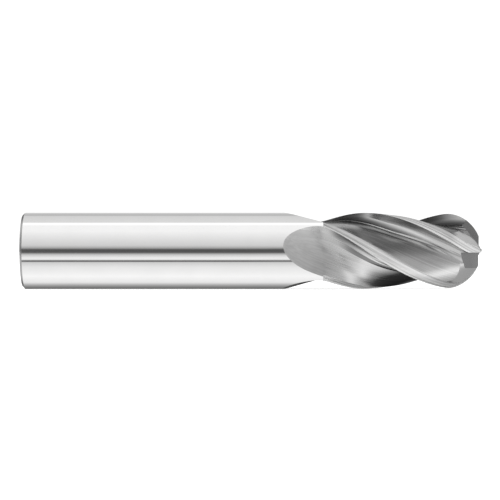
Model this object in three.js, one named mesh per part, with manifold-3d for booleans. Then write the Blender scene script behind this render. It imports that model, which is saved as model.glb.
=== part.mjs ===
// Ball-nose end mill with four right-hand flutes, ground from one carbide rod.
// Millimetres. The tool lies along +X, tip at high x, with the origin at the centre of the shank's end face.
// Angles are in degrees, measured about +X from +Y towards +Z.
import * as THREE from 'three';
import { mergeVertices } from 'three/addons/utils/BufferGeometryUtils.js';
import Module from 'manifold-3d';

// Blank: a rod of 1/2 in by 3 in.
const DIAMETER = 12.7;
const OVERALL_LENGTH = 76.2;
const SHANK_CHAMFER = 0.4;

// Teeth. One lead is the length of a full turn of the helix, whose angle is about 31 degrees.
const TOOTH_COUNT = 4;
const LENGTH_OF_CUT = 26.45;
const LEAD = 66.2;
const EDGE_ANGLE_AT_TIP = 18.6;

// Flute section, seen along the axis: [u, q], where u points from the axis to the cutting edge
// and q is 90 degrees ahead of it. A rise is how far an arc bows to the left of its chord.
const RAKE_FOOT = [5.3, -0.08];
const RAKE_FILLET_END = [3.75, 1.25];
const RAKE_FILLET_RISE = 0.42;
const FLOOR_END = [3.43, 1.9];
const FLOOR_RISE = 0.03;
const HEEL_RADIUS = 6.01;
const BACK_RISE = -0.33;
const CUTTER_REACH = 3;
const CUTTER_LEAN = 0.2;

// Run-out: the wheel leaves a round hollow that fades out of the rod. Ahead of the lands' start
// the hollow takes the flute section's shape over MORPH_LENGTH. HOLLOW_TURNS are angles round the
// wheel at the outer corner, the edge, the rake's end, the floor's end, the heel and the outer corner.
const RUNOUT_LENGTH = 6.6;
const RUNOUT_EASE = 1.5;
const RUNOUT_OVERRUN = 0.6;
const HOLLOW_RADIUS = 11;
const HOLLOW_DEPTH = 2.3;
const HOLLOW_AHEAD = 34.5;
const HOLLOW_TURNS = [-30, -21.9, -16.4, -10, 21.9, 32];
const HOLLOW_CORNER = 5.5;
const RUNOUT_TURN_RATE = 1;
const RUNOUT_BEND = 0.8;
const MORPH_LENGTH = 12;

// Relief lands behind each edge: width in degrees, drop below the blank in millimetres.
const PRIMARY_WIDTH = 8.5;
const PRIMARY_DROP = 0.12;
const SECONDARY_WIDTH = 9;
const OVERRUN_WIDTH = 8;
const OVERRUN_DROP = 0.15;
const RELIEF_CLEARANCE = 1.5;
const RELIEF_START_AHEAD = 2;
const RELIEF_BALL_END = 84;

// The facet behind the lands of the ball.
const CLEARANCE_WIDTH = 44;
const CLEARANCE_DROP = 1.55;

// End gashes: slots that carry the edges from the flutes to the centre of the ball.
const GASH_OFFSET = 0.3;
const SMALLEST_EDGE_RADIUS = 0.36;
const GASH_WIDTH = 2.55;
const GASH_SLOPE = 1.3;
const GASH_LONG_CENTRE = -0.6;
const GASH_SHORT_CENTRE = 0.45;
const GASH_LENGTH = 5.2;
const GASH_OVERRUN = 1;
const GASH_SAG = -0.3;

// Facets.
const ROUND_SEGMENTS = 64;
const BALL_SEGMENTS = 9;
const FLUTE_STEPS = 30;
const RUNOUT_STEPS = 10;
const RELIEF_STEPS = 22;
const RELIEF_BALL_STEPS = 8;
const FILLET_STEPS = 5;
const FLOOR_STEPS = 2;
const BACK_STEPS = 6;
const CLEARANCE_STEPS = 4;
const GASH_STEPS = 4;

const RADIUS = DIAMETER / 2;
const BALL_CENTRE = OVERALL_LENGTH - RADIUS;
const RELIEF_START = OVERALL_LENGTH - LENGTH_OF_CUT;
const TOOTH_PITCH = 360 / TOOTH_COUNT;
const TURN_RATE = 360 / LEAD;

const wasm = await Module();
wasm.setup();

// A closed three.js geometry as a solid that can be joined and cut.
function toSolid(geometry) {
  const bare = geometry.index ? geometry.toNonIndexed() : geometry.clone();
  bare.deleteAttribute('normal');
  bare.deleteAttribute('uv');
  const merged = mergeVertices(bare, 1e-4);
  return new wasm.Manifold(new wasm.Mesh({
    numProp: 3,
    vertProperties: new Float32Array(merged.attributes.position.array),
    triVerts: new Uint32Array(merged.index.array),
  }));
}

function toGeometry(solid) {
  const mesh = solid.getMesh();
  const geometry = new THREE.BufferGeometry();
  geometry.setAttribute('position', new THREE.BufferAttribute(mesh.vertProperties, 3));
  geometry.setIndex(new THREE.BufferAttribute(mesh.triVerts, 1));
  geometry.computeVertexNormals();
  return geometry;
}

// Points after `from` on a circular arc to `to` that bows by `rise` to the left of the chord.
function arc(from, to, rise, steps) {
  const start = new THREE.Vector2(...from);
  const chord = new THREE.Vector2(...to).sub(start);
  const half = 2 * Math.atan(2 * rise / chord.length());
  return Array.from({ length: steps }, (_, i) => {
    const turn = half * (1 - 2 * (i + 1) / steps);
    const along = 0.5 - Math.sin(turn) / Math.sin(half) / 2;
    const aside = (Math.cos(turn) - Math.cos(half)) / Math.sin(half) / 2;
    return new THREE.Vector2(
      start.x + chord.x * along - chord.y * aside,
      start.y + chord.y * along + chord.x * aside,
    );
  });
}

// A point at distance u and q from the axis, in the frame turned by `angle`, at station x.
function place(x, u, q, angle) {
  const turn = THREE.MathUtils.degToRad(angle);
  return new THREE.Vector3(
    x,
    u * Math.cos(turn) - q * Math.sin(turn),
    u * Math.sin(turn) + q * Math.cos(turn),
  );
}

// The numbers from 0 to 1 in equal steps.
function shares(steps) {
  return Array.from({ length: steps + 1 }, (_, i) => i / steps);
}

// A closed solid through equal rings of points. The flat outlines shape its first and its last face.
function loft(rings, firstOutline, lastOutline = firstOutline) {
  const clockwise = THREE.ShapeUtils.isClockWise(firstOutline);
  const ordered = (points) => (clockwise ? [...points].reverse() : points);
  const size = firstOutline.length;
  const index = [];
  for (let ring = 0; ring + 1 < rings.length; ring += 1) {
    for (let i = 0; i < size; i += 1) {
      const here = ring * size + i;
      const next = ring * size + (i + 1) % size;
      index.push(here, next, next + size, here, next + size, here + size);
    }
  }
  for (const [a, b, c] of THREE.ShapeUtils.triangulateShape(ordered(firstOutline), [])) {
    index.push(a, c, b);
  }
  const last = (rings.length - 1) * size;
  for (const [a, b, c] of THREE.ShapeUtils.triangulateShape(ordered(lastOutline), [])) {
    index.push(last + a, last + b, last + c);
  }
  const geometry = new THREE.BufferGeometry().setFromPoints(rings.flatMap(ordered));
  geometry.setIndex(index);
  return toSolid(geometry);
}

function helixAngle(x) {
  return EDGE_ANGLE_AT_TIP + (x - OVERALL_LENGTH) * TURN_RATE;
}

// Radius of the blank at station x.
function blankRadius(x) {
  return Math.sqrt(Math.max(0, RADIUS ** 2 - Math.max(0, x - BALL_CENTRE) ** 2));
}

// The edge follows the helix until the straight rake face of the end gash takes over near the tip.
function edgeAngle(x) {
  const radius = Math.max(blankRadius(x), SMALLEST_EDGE_RADIUS);
  const gash = THREE.MathUtils.radToDeg(Math.asin(GASH_OFFSET / radius));
  return Math.min(gash, helixAngle(x));
}

// Rod with a chamfered shank end and a ball nose.
function blank() {
  const profile = [
    new THREE.Vector2(0, 0),
    new THREE.Vector2(RADIUS - SHANK_CHAMFER, 0),
    new THREE.Vector2(RADIUS, SHANK_CHAMFER),
  ];
  for (let i = 0; i <= BALL_SEGMENTS; i += 1) {
    const turn = i / BALL_SEGMENTS * Math.PI / 2;
    profile.push(new THREE.Vector2(RADIUS * Math.cos(turn), BALL_CENTRE + RADIUS * Math.sin(turn)));
  }
  profile[profile.length - 1].x = 0;
  const geometry = new THREE.LatheGeometry(profile, ROUND_SEGMENTS);
  geometry.rotateZ(-Math.PI / 2);
  geometry.rotateX(Math.PI / ROUND_SEGMENTS);
  return toSolid(geometry);
}

// The outline of one flute, closed outside the rod: rake face, fillet, floor and the back of the next tooth.
function fluteOutline() {
  const heelTurn = THREE.MathUtils.degToRad(PRIMARY_WIDTH + SECONDARY_WIDTH);
  const heel = [HEEL_RADIUS * Math.sin(heelTurn), HEEL_RADIUS * Math.cos(heelTurn)];
  const back = arc(FLOOR_END, heel, BACK_RISE, BACK_STEPS);
  const tangent = back[BACK_STEPS - 1].clone().sub(back[BACK_STEPS - 2]).normalize();
  return [
    new THREE.Vector2(RADIUS + CUTTER_REACH, CUTTER_LEAN),
    new THREE.Vector2(RADIUS, 0),
    new THREE.Vector2(...RAKE_FOOT),
    ...arc(RAKE_FOOT, RAKE_FILLET_END, RAKE_FILLET_RISE, FILLET_STEPS),
    ...arc(RAKE_FILLET_END, FLOOR_END, FLOOR_RISE, FLOOR_STEPS),
    ...back,
    back[BACK_STEPS - 1].clone().addScaledVector(tangent, CUTTER_REACH),
    new THREE.Vector2(RADIUS + CUTTER_REACH, RADIUS + CUTTER_REACH),
  ];
}

// The round run-out hollow, point for point like the outline of the flute.
function hollowOutline(depth) {
  const [corner, edge, rakeEnd, floorEnd, heel, out] = HOLLOW_TURNS;
  const between = (from, to, steps) => shares(steps).slice(1).map((share) => from + (to - from) * share);
  const turns = [
    corner,
    edge,
    ...between(edge, rakeEnd, FILLET_STEPS + 1),
    ...between(rakeEnd, floorEnd, FLOOR_STEPS),
    ...between(floorEnd, heel, BACK_STEPS),
    out,
  ];
  const points = turns.map((turn) => {
    const angle = THREE.MathUtils.degToRad(turn);
    const outward = RADIUS - depth + HOLLOW_RADIUS * (1 - Math.cos(angle));
    return new THREE.Vector2(outward, HOLLOW_RADIUS * Math.sin(angle));
  });
  points.push(new THREE.Vector2(RADIUS + CUTTER_REACH, HOLLOW_CORNER));
  const ahead = THREE.MathUtils.degToRad(HOLLOW_AHEAD);
  return points.map((point) => point.rotateAround(new THREE.Vector2(), ahead));
}

// Angle of the flute at a distance in front of the lands' start. Behind it the turn slows down.
function fluteAngle(inside) {
  const bend = RUNOUT_BEND * Math.log1p(Math.exp(inside / RUNOUT_BEND));
  return helixAngle(RELIEF_START) + inside * RUNOUT_TURN_RATE + (TURN_RATE - RUNOUT_TURN_RATE) * bend;
}

function flute(tooth) {
  const outline = fluteOutline();
  const runout = shares(RUNOUT_STEPS).map((share) => (share - 1) * (RUNOUT_LENGTH + RUNOUT_OVERRUN));
  const full = shares(FLUTE_STEPS).slice(1).map((share) => share * (LENGTH_OF_CUT + GASH_OVERRUN));
  const sections = [...runout, ...full].map((inside) => {
    const faded = Math.max(0, -inside / RUNOUT_LENGTH);
    const hollow = hollowOutline(HOLLOW_DEPTH * (1 - faded ** RUNOUT_EASE));
    const morph = THREE.MathUtils.smoothstep(inside, 0, MORPH_LENGTH);
    return { inside, points: hollow.map((point, i) => point.lerp(outline[i], morph)) };
  });
  const rings = sections.map(({ inside, points }) => points.map(
    (point) => place(RELIEF_START + inside, point.x, point.y, fluteAngle(inside) + tooth * TOOTH_PITCH),
  ));
  return loft(rings, sections[0].points, outline);
}

// Both relief lands of one tooth, in the plane of height over the blank and angle ahead of the edge.
function reliefOutline() {
  const heel = PRIMARY_WIDTH + SECONDARY_WIDTH;
  const slope = PRIMARY_DROP / PRIMARY_WIDTH;
  return [
    new THREE.Vector2(RELIEF_START_AHEAD * slope, RELIEF_START_AHEAD),
    new THREE.Vector2(-PRIMARY_DROP, -PRIMARY_WIDTH),
    new THREE.Vector2(HEEL_RADIUS - RADIUS, -heel),
    new THREE.Vector2(HEEL_RADIUS - RADIUS - OVERRUN_DROP, -heel - OVERRUN_WIDTH),
    new THREE.Vector2(RELIEF_CLEARANCE, -heel - OVERRUN_WIDTH),
    new THREE.Vector2(RELIEF_CLEARANCE, RELIEF_START_AHEAD),
  ];
}

// The facet that falls away behind the lands of the ball, in the same plane as the relief lands.
function clearanceOutline() {
  const heel = PRIMARY_WIDTH + SECONDARY_WIDTH;
  const facet = shares(CLEARANCE_STEPS).map((share) => new THREE.Vector2(
    HEEL_RADIUS - RADIUS - CLEARANCE_DROP * share,
    -heel - CLEARANCE_WIDTH * share,
  ));
  return [
    ...facet,
    new THREE.Vector2(RELIEF_CLEARANCE, -heel - CLEARANCE_WIDTH),
    new THREE.Vector2(RELIEF_CLEARANCE, -heel),
  ];
}

// A cutter that follows one tooth's edge, through stations on the rod and latitudes on the ball.
function alongEdge(tooth, outline, stations) {
  const rings = stations.map(({ x, latitude }) => {
    const tilt = THREE.MathUtils.degToRad(latitude);
    const edge = edgeAngle(x + RADIUS * Math.sin(tilt)) + tooth * TOOTH_PITCH;
    return outline.map(({ x: height, y: ahead }) => {
      const radius = RADIUS + (height < RELIEF_CLEARANCE ? height * Math.cos(tilt) : height);
      return place(x + radius * Math.sin(tilt), radius * Math.cos(tilt), 0, edge + ahead);
    });
  });
  return loft(rings, outline);
}

function relief(tooth) {
  const rod = shares(RELIEF_STEPS).map((share) => (
    { x: RELIEF_START + share * (BALL_CENTRE - RELIEF_START), latitude: 0 }
  ));
  return alongEdge(tooth, reliefOutline(), [...rod, ...ballStations().slice(1)]);
}

function clearance(tooth) {
  return alongEdge(tooth, clearanceOutline(), ballStations());
}

function ballStations() {
  return shares(RELIEF_BALL_STEPS).map((share) => ({ x: BALL_CENTRE, latitude: share * RELIEF_BALL_END }));
}

// A straight slot in front of the edge, whose hollow floor ends near the axis at the tip.
function gash(tooth) {
  const centre = tooth % 2 ? GASH_SHORT_CENTRE : GASH_LONG_CENTRE;
  const top = RADIUS + GASH_OVERRUN;
  const tip = OVERALL_LENGTH + GASH_OVERRUN;
  const heel = OVERALL_LENGTH - GASH_LENGTH;
  const low = [tip, centre - GASH_OVERRUN * GASH_SLOPE];
  const high = [heel, centre + GASH_LENGTH * GASH_SLOPE];
  const outline = [
    new THREE.Vector2(tip, top),
    new THREE.Vector2(heel, top),
    new THREE.Vector2(...high),
    ...arc(high, low, GASH_SAG, GASH_STEPS),
  ];
  const rings = [GASH_OFFSET, GASH_OFFSET + GASH_WIDTH].map((q) => (
    outline.map((point) => place(point.x, point.y, q, tooth * TOOTH_PITCH))
  ));
  return loft(rings, outline);
}

// All grinding cuts made in the blank, one tooth after another.
function grind() {
  let solid = blank();
  for (let tooth = 0; tooth < TOOTH_COUNT; tooth += 1) {
    for (const cut of [flute(tooth), relief(tooth), clearance(tooth), gash(tooth)]) {
      solid = solid.subtract(cut);
    }
  }
  return solid;
}

const carbide = new THREE.MeshStandardMaterial({ color: 0xb4b6b8, roughness: 0.22, metalness: 1 });
const endMill = new THREE.Mesh(toGeometry(grind()), carbide);
endMill.name = 'end_mill';

const part = new THREE.Group();
part.add(endMill);

export default part;
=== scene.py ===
"""Ball-nose end mill in ground tungsten carbide, on a pale studio floor.

The visible mesh is made by the same grinding cuts as the CAD, in finer steps.
"""
import math

import bpy
import numpy as np
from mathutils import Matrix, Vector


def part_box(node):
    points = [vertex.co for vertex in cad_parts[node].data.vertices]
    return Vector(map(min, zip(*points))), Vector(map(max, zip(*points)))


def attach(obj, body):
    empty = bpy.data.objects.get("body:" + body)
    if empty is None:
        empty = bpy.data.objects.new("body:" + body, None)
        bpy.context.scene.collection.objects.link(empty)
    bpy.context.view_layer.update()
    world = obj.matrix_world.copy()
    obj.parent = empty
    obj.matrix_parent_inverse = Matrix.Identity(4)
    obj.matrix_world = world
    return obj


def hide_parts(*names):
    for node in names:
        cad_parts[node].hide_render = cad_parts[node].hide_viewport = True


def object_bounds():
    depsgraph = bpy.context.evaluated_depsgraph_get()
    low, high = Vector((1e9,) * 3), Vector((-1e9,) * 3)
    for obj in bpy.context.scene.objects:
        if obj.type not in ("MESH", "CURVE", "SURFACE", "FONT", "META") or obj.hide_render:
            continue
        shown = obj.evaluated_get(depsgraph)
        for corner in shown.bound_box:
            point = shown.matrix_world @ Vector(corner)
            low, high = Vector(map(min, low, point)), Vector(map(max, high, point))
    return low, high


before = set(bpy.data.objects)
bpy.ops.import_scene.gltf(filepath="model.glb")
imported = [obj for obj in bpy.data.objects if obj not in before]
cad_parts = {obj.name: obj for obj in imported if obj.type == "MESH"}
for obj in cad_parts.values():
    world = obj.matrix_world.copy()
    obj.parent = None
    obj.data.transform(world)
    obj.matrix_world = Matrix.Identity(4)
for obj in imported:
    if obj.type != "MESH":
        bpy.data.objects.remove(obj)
cad_low, cad_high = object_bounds()

# Millimetres and degrees. The tool lies along +X with its tip at high x. Angles turn from +Y towards +Z.
MM = 0.001
node_low, node_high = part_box("end_mill")
OVERALL_LENGTH = node_high[0] / MM
RADIUS = (node_high[2] - node_low[2]) / MM / 2
SHANK_CHAMFER = 0.4
END_CENTRE_RADIUS = 0.02

TOOTH_COUNT = 4
LENGTH_OF_CUT = 26.45
LEAD = 66.2
EDGE_ANGLE_AT_TIP = 18.6
SMALLEST_EDGE_RADIUS = 0.36

# Flute section: [u, q], u towards the cutting edge and q ahead of it.
RAKE_FOOT = (5.3, -0.08)
RAKE_FILLET_END = (3.75, 1.25)
RAKE_FILLET_RISE = 0.42
FLOOR_END = (3.43, 1.9)
FLOOR_RISE = 0.03
HEEL_RADIUS = 6.01
BACK_RISE = -0.33
CUTTER_REACH = 3.0
CUTTER_LEAN = 0.2

# Run-out: behind the lands the flute is a round hollow. It takes the flute section's shape over MORPH_LENGTH.
RUNOUT_LENGTH = 6.6
RUNOUT_OVERRUN = 0.66
RUNOUT_EASE = 1.5
RUNOUT_TURN_RATE = 1.0
RUNOUT_BEND = 0.8
MORPH_LENGTH = 12.0

# Angles round the hollow's own centre: where the flute's corners come to lie, and its mouth outside the rod.
HOLLOW_RADIUS = 11.0
HOLLOW_DEPTH = 2.3
HOLLOW_AHEAD = 34.5
HOLLOW_CORNERS = (-21.9, -16.4, -10, 21.9, 32)
HOLLOW_MOUTH = (36, -30)

# Relief lands and the ball's facet behind them: widths are angles, and drops are below the blank.
PRIMARY_WIDTH = 8.5
PRIMARY_DROP = 0.12
SECONDARY_WIDTH = 9.0
OVERRUN_WIDTH = 8.0
OVERRUN_DROP = 0.15
CLEARANCE_WIDTH = 44
CLEARANCE_DROP = 1.55
RELIEF_CLEARANCE = 1.5
RELIEF_START_AHEAD = 2.0
RELIEF_BALL_END = 86

# End gash in front of each edge, long on two opposite teeth and short on the other two.
GASH_OFFSET = 0.3
GASH_WIDTH = 2.55
GASH_SLOPE = 1.3
GASH_LONG_CENTRE = -0.6
GASH_SHORT_CENTRE = 0.45
GASH_LENGTH = 5.2
GASH_OVERRUN = 1.0
GASH_SAG = -0.3

BALL_CENTRE = OVERALL_LENGTH - RADIUS
RELIEF_START = OVERALL_LENGTH - LENGTH_OF_CUT
TOOTH_PITCH = 360 / TOOTH_COUNT
TURN_RATE = 360 / LEAD
LANDS_WIDTH = PRIMARY_WIDTH + SECONDARY_WIDTH
HEEL_DROP = HEEL_RADIUS - RADIUS
OUTSIDE = RADIUS + CUTTER_REACH

# Fineness of the visible mesh.
ROUND_SEGMENTS = 256
BALL_SEGMENTS = 64
SHANK_RINGS = 12
FLUTE_STEPS = 220
RUNOUT_STEPS = 70
RELIEF_STEPS = 160
RELIEF_BALL_STEPS = 60
CLEARANCE_STEPS = 50
RAKE_STEPS = 8
FILLET_STEPS = 18
FLOOR_STEPS = 8
BACK_STEPS = 32
HEEL_STEPS = 6
PRIMARY_STEPS = 8
SECONDARY_STEPS = 6
OVERRUN_STEPS = 4
RELIEF_OUTER_STEPS = 8
CLEARANCE_POINTS = 13
GASH_FLOOR_STEPS = 16
SHARP_ANGLE = 25

# Finish. Tone follows the noise over NOISE_SPAN. Over SHEEN_SPAN the lines scale roughness by SHEEN_FACTORS.
CARBIDE_TINT = (1.0, 0.998, 0.996)
LINE_DETAIL = 3
LINE_HARSHNESS = 0.6
MOTTLE_SCALE = 260
MOTTLE_DETAIL = 4
MOTTLE_HARSHNESS = 0.5
NOISE_SPAN = (0.3, 0.7)
SHEEN_SPAN = (0.25, 0.75)
SHEEN_FACTORS = (0.75, 1.3)
LAY_STRETCH = 0.02
ROUND_STRETCH = 0.04

# Where the finish and the painted shade change: spans along the tool from its shank end, and RAKE_EDGE_SPAN
# away from its axis.
DULL_SPAN = (46.5, 58.5)
SHADE_IN_SPAN = (51, 55.5)
SHADE_OUT_SPAN = (61, 67)
# The rake face's painted shade: darker towards its edge over RAKE_EDGE_SPAN, in waves of RAKE_WAVE_PITCH.
RAKE_EDGE_SPAN = (4.5, 5.7)
RAKE_WAVE_SPAN = (49, 53)
RAKE_WAVE_PITCH = 13.0
RAKE_WAVE_CREST = 53.5

# Studio.
TENT_STRENGTH = 1.35
ROOM_STRENGTH = 1.1
FLOOR_REACH = 8000
FLOOR_GREY = 0.9
FLOOR_ROUGHNESS = 0.9
FLOOR_GLOW = 0.45
CAMERA_DISTANCE = 350
VIEW_CENTRE_X = 37.72
VIEW_CENTRE_Z = 0.13
VIEW_WIDTH = 83.15
SENSOR_WIDTH = 36.0
CLIP_START = 10


# ---- materials ----

class Nodes:
    """Short forms for building a node tree."""

    def __init__(self, tree):
        self.tree = tree
        tree.nodes.clear()

    def add(self, kind, **values):
        node = self.tree.nodes.new(kind)
        for key, value in values.items():
            setattr(node, key, value)
        return node

    def feed(self, socket, value):
        """Links a socket to another socket, or sets it to a plain value."""
        if isinstance(value, bpy.types.NodeSocket):
            self.tree.links.new(value, socket)
        else:
            socket.default_value = value

    def math(self, operation, a, b=0.0, c=0.0):
        node = self.add("ShaderNodeMath", operation=operation)
        for socket, value in zip(node.inputs, (a, b, c)):
            self.feed(socket, value)
        return node.outputs[0]

    def remap(self, value, low, high, to_low, to_high):
        """A smooth step from to_low to to_high while value goes from low to high."""
        node = self.add("ShaderNodeMapRange", interpolation_type="SMOOTHSTEP")
        for socket, given in zip(node.inputs, (value, low, high, to_low, to_high)):
            self.feed(socket, given)
        return node.outputs[0]

    def noise(self, coordinates, scale, detail, roughness):
        node = self.add("ShaderNodeTexNoise")
        self.feed(node.inputs["Vector"], coordinates)
        self.feed(node.inputs["Scale"], scale)
        self.feed(node.inputs["Detail"], detail)
        self.feed(node.inputs["Roughness"], roughness)
        return node.outputs[0]

    def ramp(self, value, stops):
        """The grey level at value, read between stops of (place, grey)."""
        node = self.add("ShaderNodeValToRGB")
        self.feed(node.inputs[0], value)
        ramp = node.color_ramp
        while len(ramp.elements) > 1:
            ramp.elements.remove(ramp.elements[0])
        for i, (at, grey) in enumerate(stops):
            element = ramp.elements[0] if i == 0 else ramp.elements.new(at)
            element.position = at
            element.color = (grey, grey, grey, 1)
        return node.outputs[0]

    def position(self):
        """The x, y and z of the point on the tool."""
        split = self.add("ShaderNodeSeparateXYZ")
        self.feed(split.inputs[0], self.add("ShaderNodeTexCoord").outputs["Object"])
        return split.outputs


def off_axis(nodes):
    """The distance from the tool's axis."""
    _, y, z = nodes.position()
    return nodes.math("SQRT", nodes.math("MULTIPLY_ADD", y, y, nodes.math("MULTIPLY", z, z)))


def along_tool(nodes, span, before, after):
    """A value that changes along the tool from before to after over the span."""
    x, _, _ = nodes.position()
    start, end = span
    return nodes.remap(x, start * MM, end * MM, before, after)


def rake_shade_waves(nodes):
    """Painted shade in waves along the cutting length: 1 where the rake face is painted darkest, 0 between
    and on the run-out.
    """
    x, _, _ = nodes.position()
    wave_turn = 2 * math.pi / (RAKE_WAVE_PITCH * MM)
    phase = nodes.math("MULTIPLY_ADD", x, wave_turn, -wave_turn * RAKE_WAVE_CREST * MM)
    wave = nodes.remap(nodes.math("COSINE", phase), -1, 1, 0, 1)
    return nodes.math("MULTIPLY", wave, along_tool(nodes, RAKE_WAVE_SPAN, 0, 1))


def lay_coordinates(nodes, lay):
    """Coordinates that make noise into grinding lines of one lay: 'round', 'helix', 'land' or 'flat'.

    Round lines go round the rod, helix and land lines follow the flutes, and flat has no direction. On the
    helix, twice the angle at half the radius keeps the spacing of the lines and leaves no seam.
    """
    if lay == "flat":
        return nodes.add("ShaderNodeTexCoord").outputs["Object"]
    x, y, z = nodes.position()
    radius = off_axis(nodes)
    angle = nodes.math("ARCTAN2", z, y)
    combine = nodes.add("ShaderNodeCombineXYZ")
    if lay == "round":
        parts = (x, nodes.math("MULTIPLY", angle, ROUND_STRETCH * MM), radius)
    else:
        twist = nodes.math("MULTIPLY", x, math.radians(TURN_RATE) / MM)
        turned = nodes.math("MULTIPLY", nodes.math("SUBTRACT", angle, twist), 2.0)
        sine, cosine = [
            nodes.math("MULTIPLY", nodes.math(wave, turned), RADIUS * MM / 2) for wave in ("SINE", "COSINE")
        ]
        depth = nodes.math("MULTIPLY", radius, LAY_STRETCH if lay == "land" else 1.0)
        parts = (sine, cosine, nodes.math("MULTIPLY_ADD", x, LAY_STRETCH, depth))
    for socket, part in zip(combine.inputs, parts):
        nodes.feed(socket, part)
    return combine.outputs[0]


def carbide(
    name, roughness, lay, line_size, line_depth, grey=0.66, mottle=0.03, streak=0.0, metallic=1.0,
    dull=None, deep_shade_grey=None, edge=None,
):
    """Ground tungsten carbide: wheel lines in the bump, roughness and colour, and a faint mottle.

    dull is the roughness where the wheel runs out of the rod. deep is painted shade: the grey where the flute
    is deepest in shade. edge is painted shade too: the grey close to the cutting edge, darkest in waves along
    the tool.
    """
    material = bpy.data.materials.new(name)
    material.use_nodes = True
    nodes = Nodes(material.node_tree)
    lines = nodes.noise(lay_coordinates(nodes, lay), 1 / (line_size * MM), LINE_DETAIL, LINE_HARSHNESS)
    cloud = nodes.noise(lay_coordinates(nodes, "flat"), MOTTLE_SCALE, MOTTLE_DETAIL, MOTTLE_HARSHNESS)

    shade = grey
    # Painted shade: the flute darkens over SHADE_IN_SPAN and lightens again over SHADE_OUT_SPAN.
    if deep_shade_grey:
        shaded_in = along_tool(nodes, SHADE_IN_SPAN, 0, 1)
        shaded_out = along_tool(nodes, SHADE_OUT_SPAN, 1, 0)
        shade = nodes.remap(nodes.math("MULTIPLY", shaded_in, shaded_out), 0, 1, grey, deep_shade_grey)
    # Painted shade: the rake face darkens towards the cutting edge, in waves along the tool.
    if edge:
        near = nodes.remap(off_axis(nodes), RAKE_EDGE_SPAN[0] * MM, RAKE_EDGE_SPAN[1] * MM, 0, 1)
        shade = nodes.remap(nodes.math("MULTIPLY", near, rake_shade_waves(nodes)), 0, 1, grey, edge)
    for pattern, strength in ((cloud, mottle), (lines, streak)):
        shade = nodes.math("ADD", shade, nodes.remap(pattern, *NOISE_SPAN, -strength, strength))
    tint = nodes.add("ShaderNodeCombineColor")
    for channel, factor in enumerate(CARBIDE_TINT):
        nodes.feed(tint.inputs[channel], nodes.math("MULTIPLY", shade, factor))

    spread = nodes.remap(lines, *SHEEN_SPAN, *SHEEN_FACTORS)
    finish = along_tool(nodes, DULL_SPAN, dull, roughness) if dull else roughness
    bump = nodes.add("ShaderNodeBump")
    nodes.feed(bump.inputs["Strength"], 1)
    nodes.feed(bump.inputs["Distance"], line_depth * MM)
    nodes.feed(bump.inputs["Height"], lines)

    surface = nodes.add("ShaderNodeBsdfPrincipled")
    nodes.feed(surface.inputs["Metallic"], metallic)
    nodes.feed(surface.inputs["Base Color"], tint.outputs[0])
    nodes.feed(surface.inputs["Roughness"], nodes.math("MULTIPLY", spread, finish))
    nodes.feed(surface.inputs["Normal"], bump.outputs[0])
    output = nodes.add("ShaderNodeOutputMaterial")
    nodes.feed(output.inputs[0], surface.outputs[0])
    return material


# Each ground or polished surface: roughness, lay, and the wheel lines' size and depth.
ZONES = {
    "polished": carbide("polished_shank", 0.045, "round", 0.25, 0.0002, grey=0.97, mottle=0.01),
    "end": carbide("shank_end_face", 0.3, "flat", 0.2, 0.002),
    "chamfer": carbide("shank_chamfer", 0.22, "round", 0.1, 0.0005),
    # The rake face's edge grey is painted shade near the cutting edge.
    "rake": carbide("ground_rake_face", 0.16, "helix", 0.3, 0.0012, streak=0.04, dull=0.3, edge=0.28),
    # The flute floor's darker grey in the middle of the cutting length is painted shade.
    "floor": carbide(
        "ground_flute_floor", 0.17, "helix", 0.35, 0.0015, grey=0.6, streak=0.03, dull=0.36, deep_shade_grey=0.28,
    ),
    "back": carbide("ground_tooth_back", 0.17, "helix", 0.35, 0.0015, streak=0.06, dull=0.38),
    "primary": carbide(
        "ground_primary_land", 0.3, "land", 0.5, 0.0005, grey=0.68, streak=0.22, metallic=0.5,
    ),
    "secondary": carbide(
        "ground_secondary_land", 0.3, "land", 0.5, 0.0005, grey=0.68, streak=0.2, metallic=0.6,
    ),
    "clearance": carbide("ground_ball_clearance", 0.2, "flat", 0.2, 0.0005),
    "gash": carbide("ground_end_gash", 0.22, "flat", 0.25, 0.0005, grey=0.36),
}
ZONE_INDEX = {zone: i for i, zone in enumerate(ZONES)}


# ---- geometry ----

def arc(start, end, rise, steps):
    """Points after start on a circular arc to end that bows by rise to the left of the chord."""
    start, end = np.array(start), np.array(end)
    chord = end - start
    half = 2 * math.atan(2 * rise / np.linalg.norm(chord))
    turn = half * (1 - 2 * np.arange(1, steps + 1) / steps)
    along = 0.5 - np.sin(turn) / math.sin(half) / 2
    aside = (np.cos(turn) - math.cos(half)) / math.sin(half) / 2
    return start + np.outer(along, chord) + np.outer(aside, (-chord[1], chord[0]))


def line(start, end, steps):
    """Points after start on a straight line to end."""
    share = np.arange(1, steps + 1)[:, None] / steps
    return np.array(start) * (1 - share) + np.array(end) * share


def join(pieces):
    """An outline's points, and the finish of the strip that leads to each of them."""
    points = np.concatenate([part for _, part in pieces])
    return points, [zone for zone, part in pieces for _ in part]


def place(x, u, q, angle):
    """A point at u and q from the axis in the frame turned by angle, at station x."""
    turn = np.radians(angle)
    x = x + 0 * u
    return np.stack([x, u * np.cos(turn) - q * np.sin(turn), u * np.sin(turn) + q * np.cos(turn)], axis=-1)


def smooth(share):
    """A smooth step from 0 to 1."""
    share = np.clip(share, 0, 1)
    return share**2 * (3 - 2 * share)


def helix_angle(x):
    """The angle of the first tooth's edge at station x, on the helix alone."""
    return EDGE_ANGLE_AT_TIP + (x - OVERALL_LENGTH) * TURN_RATE


def edge_angle(x):
    """The edge follows the helix until the straight rake face of the end gash takes over near the tip."""
    beyond = max(0.0, x - BALL_CENTRE)
    radius = max(math.sqrt(max(0.0, RADIUS**2 - beyond**2)), SMALLEST_EDGE_RADIUS)
    return min(math.degrees(math.asin(GASH_OFFSET / radius)), helix_angle(x))


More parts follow.
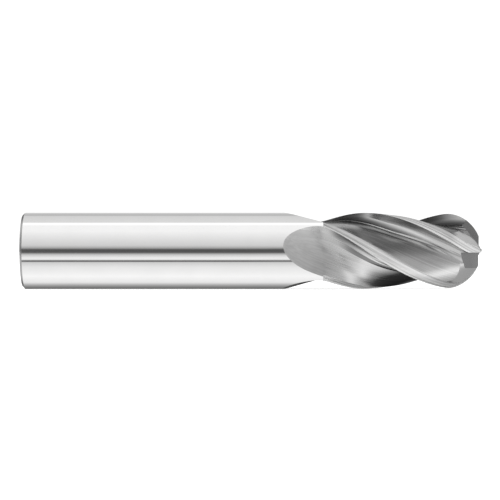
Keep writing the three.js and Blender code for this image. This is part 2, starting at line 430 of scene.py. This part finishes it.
def loft(name, rings, zones):
    """A closed solid through equal rings. zones names the finish of the strip after each ring point."""
    rings = np.array(rings) * MM
    count, size = rings.shape[:2]
    grid = np.arange(count * size).reshape(count, size)
    after = np.roll(grid, -1, axis=1)
    quads = np.stack([grid[:-1], after[:-1], after[1:], grid[1:]], axis=-1).reshape(-1, 4).tolist()
    ends = [grid[0][::-1].tolist(), grid[-1].tolist()]
    mesh = bpy.data.meshes.new(name)
    mesh.from_pydata(rings.reshape(-1, 3).tolist(), [], quads + ends)
    for material in ZONES.values():
        mesh.materials.append(material)
    strip = [ZONE_INDEX[zone] for zone in zones]
    indices = strip * (count - 1) + [ZONE_INDEX["gash"]] * len(ends)
    mesh.polygons.foreach_set("material_index", indices)
    mesh.update()
    obj = bpy.data.objects.new(name, mesh)
    bpy.context.scene.collection.objects.link(obj)
    return obj


def blank():
    """Rod with a chamfered shank end and a ball nose, as rings of one turned profile."""
    profile = [(0, END_CENTRE_RADIUS), (0, RADIUS - SHANK_CHAMFER), (SHANK_CHAMFER, RADIUS)]
    for x in np.linspace(SHANK_CHAMFER, BALL_CENTRE, SHANK_RINGS)[1:]:
        profile.append((x, RADIUS))
    for turn in np.linspace(0, math.pi / 2, BALL_SEGMENTS + 1)[1:-1]:
        profile.append((BALL_CENTRE + RADIUS * math.sin(turn), RADIUS * math.cos(turn)))
    turn = np.arange(ROUND_SEGMENTS) * 2 * math.pi / ROUND_SEGMENTS
    rings = []
    for x, radius in profile:
        rings.append(np.stack([np.full_like(turn, x), radius * np.cos(turn), radius * np.sin(turn)], axis=-1))
    obj = loft("end_mill_body", rings, ["polished"] * ROUND_SEGMENTS)
    indices = np.full(len(obj.data.polygons), ZONE_INDEX["polished"])
    for row, zone in enumerate(("end", "chamfer")):
        indices[row * ROUND_SEGMENTS:(row + 1) * ROUND_SEGMENTS] = ZONE_INDEX[zone]
    first_cap = -2
    indices[first_cap] = ZONE_INDEX["end"]
    obj.data.polygons.foreach_set("material_index", indices.tolist())
    return obj


def flute_outline():
    """One flute's outline, closed outside the rod, with the finish of the strip after each point."""
    heel_turn = math.radians(LANDS_WIDTH)
    heel = (HEEL_RADIUS * math.sin(heel_turn), HEEL_RADIUS * math.cos(heel_turn))
    back = arc(FLOOR_END, heel, BACK_RISE, BACK_STEPS)
    tangent = (back[-1] - back[-2]) / np.linalg.norm(back[-1] - back[-2])
    out = back[-1] + tangent * CUTTER_REACH
    edge = (RADIUS, 0)
    start = (OUTSIDE, CUTTER_LEAN)
    corner = (OUTSIDE, OUTSIDE)
    points, before = join([
        ("rake", line(start, edge, 1)),
        ("rake", line(edge, RAKE_FOOT, RAKE_STEPS)),
        ("rake", arc(RAKE_FOOT, RAKE_FILLET_END, RAKE_FILLET_RISE, FILLET_STEPS)),
        ("floor", arc(RAKE_FILLET_END, FLOOR_END, FLOOR_RISE, FLOOR_STEPS)),
        ("back", back),
        ("back", line(back[-1], out, HEEL_STEPS)),
        ("back", line(out, corner, 1)),
        ("back", line(corner, start, 1)),
    ])
    return points[::-1], before[::-1]


def hollow_outline(depth):
    """The round run-out hollow, point for point like the flute outline."""
    counts = (RAKE_STEPS + FILLET_STEPS, FLOOR_STEPS, BACK_STEPS, HEEL_STEPS)
    turns = [HOLLOW_CORNERS[:1]]
    for start, end, count in zip(HOLLOW_CORNERS, HOLLOW_CORNERS[1:], counts):
        turns.append(start + (end - start) * np.arange(1, count + 1) / count)
    turns = np.radians(np.concatenate(turns + [HOLLOW_MOUTH]))
    outward = RADIUS - depth + HOLLOW_RADIUS * (1 - np.cos(turns))
    aside = HOLLOW_RADIUS * np.sin(turns)
    outward[-len(HOLLOW_MOUTH):] = OUTSIDE
    ahead = math.radians(HOLLOW_AHEAD)
    u = outward * math.cos(ahead) - aside * math.sin(ahead)
    q = outward * math.sin(ahead) + aside * math.cos(ahead)
    return np.stack([u, q], axis=-1)[::-1]


def flute(tooth):
    """The helical flute. Towards the shank it turns into a round hollow that fades out of the rod."""
    outline, zones = flute_outline()
    runout_start = RELIEF_START - RUNOUT_LENGTH - RUNOUT_OVERRUN
    runout = np.linspace(runout_start, RELIEF_START, RUNOUT_STEPS, endpoint=False)
    full = np.linspace(RELIEF_START, OVERALL_LENGTH + GASH_OVERRUN, FLUTE_STEPS)
    rings = []
    for x in np.concatenate([runout, full]):
        inside = x - RELIEF_START
        faded = max(0, -inside / RUNOUT_LENGTH)
        hollow = hollow_outline(HOLLOW_DEPTH * (1 - faded**RUNOUT_EASE))
        section = hollow + (outline - hollow) * smooth(inside / MORPH_LENGTH)
        bend = RUNOUT_BEND * math.log1p(math.exp(inside / RUNOUT_BEND))
        angle = helix_angle(RELIEF_START) + inside * RUNOUT_TURN_RATE + (TURN_RATE - RUNOUT_TURN_RATE) * bend
        rings.append(place(x, section[:, 0], section[:, 1], angle + tooth * TOOTH_PITCH))
    return loft(f"flute_cut_{tooth}", rings, zones)


def relief_outline():
    """Both relief lands, as height over the blank and angle ahead of the edge."""
    front = (RELIEF_START_AHEAD * PRIMARY_DROP / PRIMARY_WIDTH, RELIEF_START_AHEAD)
    middle = (-PRIMARY_DROP, -PRIMARY_WIDTH)
    heel = (HEEL_DROP, -LANDS_WIDTH)
    overrun = (HEEL_DROP - OVERRUN_DROP, -LANDS_WIDTH - OVERRUN_WIDTH)
    outer_back = (RELIEF_CLEARANCE, -LANDS_WIDTH - OVERRUN_WIDTH)
    outer_front = (RELIEF_CLEARANCE, RELIEF_START_AHEAD)
    points, before = join([
        ("primary", line(front, middle, PRIMARY_STEPS)),
        ("secondary", line(middle, heel, SECONDARY_STEPS)),
        ("secondary", line(heel, overrun, OVERRUN_STEPS)),
        ("secondary", line(overrun, outer_back, 1)),
        ("secondary", line(outer_back, outer_front, RELIEF_OUTER_STEPS)),
        ("primary", line(outer_front, front, 1)),
    ])
    return points, before[1:] + before[:1]


def relief(tooth):
    """Both relief lands behind one edge, along the flute and round the ball."""
    outline, zones = relief_outline()
    height, ahead = outline.T
    outer = np.isclose(height, RELIEF_CLEARANCE)
    stations = [(x, 0.0) for x in np.linspace(RELIEF_START, BALL_CENTRE, RELIEF_STEPS)]
    stations += [(BALL_CENTRE, tilt) for tilt in np.linspace(0, RELIEF_BALL_END, RELIEF_BALL_STEPS)[1:]]
    rings = []
    for centre, latitude in stations:
        tilt = math.radians(latitude)
        reach = RADIUS + np.where(outer, height, height * math.cos(tilt))
        edge = edge_angle(centre + RADIUS * math.sin(tilt))
        x = centre + reach * math.sin(tilt)
        rings.append(place(x, reach * math.cos(tilt), 0, edge + ahead + tooth * TOOTH_PITCH))
    return loft(f"relief_cut_{tooth}", rings, zones)


def clearance(tooth):
    """A facet behind the lands of the ball, which takes the tooth back away towards the tip."""
    back = -LANDS_WIDTH - CLEARANCE_WIDTH
    behind = np.concatenate([np.linspace(-LANDS_WIDTH, back, CLEARANCE_POINTS), [back, -LANDS_WIDTH]])
    rings = []
    for latitude in np.linspace(0, RELIEF_BALL_END, CLEARANCE_STEPS):
        tilt = math.radians(latitude)
        height = HEEL_DROP + CLEARANCE_DROP * (behind + LANDS_WIDTH) / CLEARANCE_WIDTH
        height = height * math.cos(tilt)
        height[CLEARANCE_POINTS:] = RELIEF_CLEARANCE
        reach = RADIUS + height
        edge = edge_angle(BALL_CENTRE + RADIUS * math.sin(tilt))
        x = BALL_CENTRE + reach * math.sin(tilt)
        rings.append(place(x, reach * math.cos(tilt), 0, edge + behind + tooth * TOOTH_PITCH))
    return loft(f"clearance_cut_{tooth}", rings, ["clearance"] * len(behind))


def gash(tooth):
    """A straight slot in front of the edge whose hollow-ground floor ends near the axis at the tip."""
    centre = GASH_SHORT_CENTRE if tooth % 2 else GASH_LONG_CENTRE
    top = RADIUS + GASH_OVERRUN
    tip = OVERALL_LENGTH + GASH_OVERRUN
    heel = OVERALL_LENGTH - GASH_LENGTH
    low = (tip, centre - GASH_OVERRUN * GASH_SLOPE)
    high = (heel, centre + GASH_LENGTH * GASH_SLOPE)
    outline = np.concatenate([
        line(low, (tip, top), 1),
        line((tip, top), (heel, top), 1),
        line((heel, top), high, 1),
        arc(high, low, GASH_SAG, GASH_FLOOR_STEPS),
    ])
    rings = []
    for q in (GASH_OFFSET, GASH_OFFSET + GASH_WIDTH):
        rings.append(place(outline[:, 0], outline[:, 1], q, tooth * TOOTH_PITCH))
    return loft(f"gash_cut_{tooth}", rings, ["gash"] * len(outline))


def grind():
    """Makes the cuts in the blank and keeps each ground surface's finish."""
    body = blank()
    cuts = (flute, relief, clearance, gash)
    cutters = [cut(tooth) for cut in cuts for tooth in range(TOOTH_COUNT)]
    for cutter in cutters:
        step = body.modifiers.new(cutter.name, "BOOLEAN")
        step.operation = "DIFFERENCE"
        step.solver = "MANIFOLD"
        step.object = cutter
    shaped = body.evaluated_get(bpy.context.evaluated_depsgraph_get())
    mesh = bpy.data.meshes.new_from_object(shaped)
    body.modifiers.clear()
    body.data = mesh
    for cutter in cutters:
        bpy.data.objects.remove(cutter)
    return body


def sharpen(mesh):
    """Smooth shading inside each ground surface, with a crisp edge wherever two surfaces meet."""
    mesh.polygons.foreach_set("use_smooth", [True] * len(mesh.polygons))
    mesh.set_sharp_from_angle(angle=math.radians(SHARP_ANGLE))
    finishes = {}
    for polygon in mesh.polygons:
        for edge in polygon.edge_keys:
            finishes.setdefault(edge, set()).add(polygon.material_index)
    for edge in mesh.edges:
        if len(finishes[edge.key]) > 1:
            edge.use_edge_sharp = True


end_mill = grind()
sharpen(end_mill.data)
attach(end_mill, "root")
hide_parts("end_mill")


# ---- studio ----

# The light tent's grey levels round the tool's axis, at degrees up from the camera's side of it.
TENT_MIDDLE = (
    (-180, 0.08), (-143, 0.15), (-127, 0.3), (-110, 0.61), (-83, 0.71), (-50, 0.6), (-35, 0.46), (-32.5, 0.1),
    (-29.5, 0.1), (-27, 0.57), (-22, 0.66), (-12, 0.43), (-5, 0.07), (3.5, 0.06), (9, 0.3), (16, 0.46),
    (40, 0.58), (61, 0.68), (82, 0.69), (87, 0.82), (91, 0.8), (96, 0.53), (127, 0.49), (139, 0.33),
    (150, 0.46), (180, 0.5),
)
TENT_RIGHT = (
    (-180, 0.2), (-160, 0.1), (-140, 0.01), (-85, 0.03), (-70, 0.3), (-56, 0.9), (-46, 0.8), (-30, 0.44),
    (-10, 0.37), (15, 0.36), (40, 0.2), (80, 0.11), (110, 0.13), (130, 0.14), (150, 0.22), (180, 0.2),
)
TENT_FAR_RIGHT = (
    (-180, 0.15), (-120, 0.03), (-90, 0.04), (-70, 0.12), (-52, 0.42), (-32, 1.0), (-22, 0.95), (-10, 0.5),
    (5, 0.34), (15, 0.29), (35, 0.3), (50, 0.19), (70, 0.11), (110, 0.11), (125, 0.5), (160, 0.45),
    (180, 0.15),
)
TENT_AHEAD = (
    (-180, 0.42), (-150, 0.36), (-60, 0.4), (-42, 0.55), (-30, 0.9), (-20, 0.75), (-8, 0.45), (50, 0.42),
    (70, 0.5), (130, 0.5), (165, 0.48), (180, 0.42),
)
TENT_LEFT = (
    (-180, 0.2), (-120, 0.1), (-105, 0.3), (-85, 0.6), (-60, 0.55), (-30, 0.62), (-10, 0.45), (10, 0.3),
    (30, 0.18), (50, 0.08), (70, 0.02), (135, 0.01), (150, 0.1), (180, 0.2),
)
TENT_FAR_LEFT = (
    (-180, 0.05), (-158, 0.04), (-142, 0.5), (-100, 0.48), (-60, 0.55), (-30, 0.72), (-10, 0.52), (10, 0.33),
    (30, 0.17), (50, 0.1), (70, 0.06), (100, 0.03), (118, 0.05), (130, 0.5), (142, 0.5), (158, 0.04),
    (180, 0.05),
)
# What takes over from the middle where the direction's x goes from the first number to the second.
TENT_SIDES = (
    (TENT_RIGHT, 0.04, 0.09),
    (TENT_FAR_RIGHT, 0.35, 0.48),
    (TENT_AHEAD, 0.5, 0.6),
    (TENT_LEFT, -0.115, -0.14),
    (TENT_FAR_LEFT, -0.35, -0.5),
)


def blend(nodes, under, over, share):
    """The colour under, covered by the colour over as share goes from 0 to 1."""
    mix = nodes.add("ShaderNodeMix", data_type="RGBA")
    factor_socket, under_socket, over_socket, colour_output = 0, 6, 7, 2
    nodes.feed(mix.inputs[factor_socket], share)
    nodes.feed(mix.inputs[under_socket], under)
    nodes.feed(mix.inputs[over_socket], over)
    return mix.outputs[colour_output]


def studio_world():
    """A light tent round the tool, seen only in reflections. Everything else is lit by a plain white room."""
    world = bpy.data.worlds.new("light_tent")
    bpy.context.scene.world = world
    world.use_nodes = True
    nodes = Nodes(world.node_tree)
    split = nodes.add("ShaderNodeSeparateXYZ")
    nodes.feed(split.inputs[0], nodes.add("ShaderNodeTexCoord").outputs["Generated"])
    x, y, z = split.outputs
    turn = nodes.math("ARCTAN2", z, nodes.math("MULTIPLY", y, -1))
    share = nodes.math("MULTIPLY_ADD", turn, 0.5 / math.pi, 0.5)

    def around(stops):
        return nodes.ramp(share, [(0.5 + angle / 360, level) for angle, level in stops])

    colour = around(TENT_MIDDLE)
    for stops, start, end in TENT_SIDES:
        colour = blend(nodes, colour, around(stops), nodes.remap(x, start, end, 0.0, 1.0))
    tent = nodes.add("ShaderNodeBackground")
    nodes.feed(tent.inputs["Color"], colour)
    nodes.feed(tent.inputs["Strength"], TENT_STRENGTH)
    room = nodes.add("ShaderNodeBackground")
    nodes.feed(room.inputs["Color"], (1, 1, 1, 1))
    nodes.feed(room.inputs["Strength"], ROOM_STRENGTH)
    seen = nodes.add("ShaderNodeMixShader")
    nodes.feed(seen.inputs[0], nodes.add("ShaderNodeLightPath").outputs["Is Glossy Ray"])
    nodes.feed(seen.inputs[1], room.outputs[0])
    nodes.feed(seen.inputs[2], tent.outputs[0])
    output = nodes.add("ShaderNodeOutputWorld")
    nodes.feed(output.inputs[0], seen.outputs[0])


def pale_floor():
    """A wide pale floor that the tool rests on. Polished carbide mirrors the tent instead of the floor."""
    reach = FLOOR_REACH * MM
    z = cad_low[2]
    mesh = bpy.data.meshes.new("studio_floor")
    corners = [(-reach, -reach, z), (reach, -reach, z), (reach, reach, z), (-reach, reach, z)]
    mesh.from_pydata(corners, [], [(0, 1, 2, 3)])
    floor = bpy.data.objects.new("studio_floor", mesh)
    bpy.context.scene.collection.objects.link(floor)
    material = bpy.data.materials.new("pale_floor")
    material.use_nodes = True
    surface = material.node_tree.nodes["Principled BSDF"]
    surface.inputs["Base Color"].default_value = (FLOOR_GREY, FLOOR_GREY, FLOOR_GREY, 1)
    surface.inputs["Roughness"].default_value = FLOOR_ROUGHNESS
    surface.inputs["Specular IOR Level"].default_value = 0.0
    surface.inputs["Emission Color"].default_value = (1, 1, 1, 1)
    surface.inputs["Emission Strength"].default_value = FLOOR_GLOW
    mesh.materials.append(material)
    floor.visible_glossy = False


def photo_camera():
    """Level with the tool's axis and square to it, a few tool lengths away."""
    data = bpy.data.cameras.new("photo_camera")
    data.sensor_width = SENSOR_WIDTH
    data.lens = SENSOR_WIDTH * CAMERA_DISTANCE / VIEW_WIDTH
    data.clip_start = CLIP_START * MM
    camera = bpy.data.objects.new("photo_camera", data)
    camera.location = (VIEW_CENTRE_X * MM, -CAMERA_DISTANCE * MM, VIEW_CENTRE_Z * MM)
    camera.rotation_euler = (math.radians(90), 0, 0)
    bpy.context.scene.collection.objects.link(camera)
    bpy.context.scene.camera = camera


studio_world()
pale_floor()
photo_camera()
bpy.context.scene.view_settings.view_transform = "Standard"
